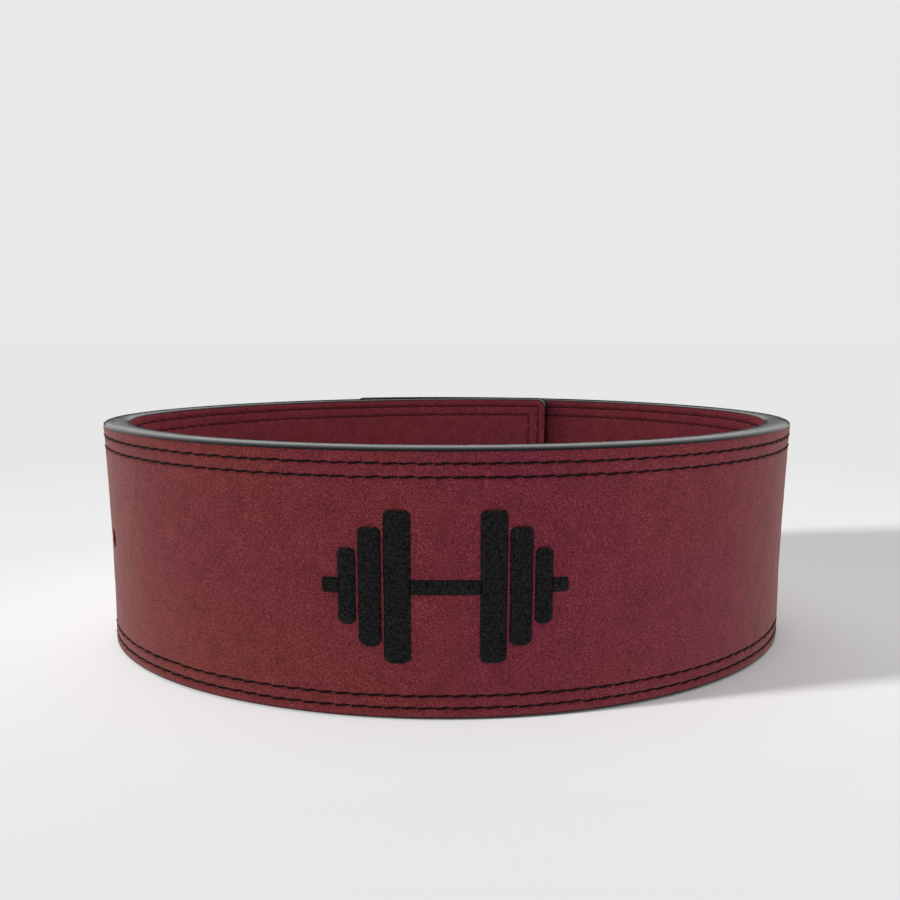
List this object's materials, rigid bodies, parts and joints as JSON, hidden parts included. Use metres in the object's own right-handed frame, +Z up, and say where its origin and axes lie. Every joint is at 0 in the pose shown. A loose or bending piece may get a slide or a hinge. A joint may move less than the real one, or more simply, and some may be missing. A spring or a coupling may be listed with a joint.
{
  "type": "weightlifting belt",
  "caption": "Wide thick leather strap with suede on both faces, closed into an oval, standing on its edge, fastened at the back by a plain lever buckle.",
  "frame": {"origin": "on the surface that the belt stands on, under the middle of its bounding box", "axes": "+X along the oval's long side, to the right of someone who faces the emblem; +Y from the emblem to the buckle; +Z up, across the strap's width"},
  "size_m": [0.312, 0.2124, 0.1012],
  "materials": {
    "outer_suede": "maroon suede with a short nap",
    "inner_suede": "maroon suede, a little darker",
    "dressed_edge": "leather with a black dressed edge, satin",
    "black_thread": "black thread with a soft shine",
    "steel": "fine brushed steel"
  },
  "bodies": {
    "root": {"outer_suede": "outer_suede", "leather_core": "dressed_edge", "inner_suede": "inner_suede", "emblem_embroidery": "black_thread", "lever_buckle": "steel"}
  },
  "joints": []
}
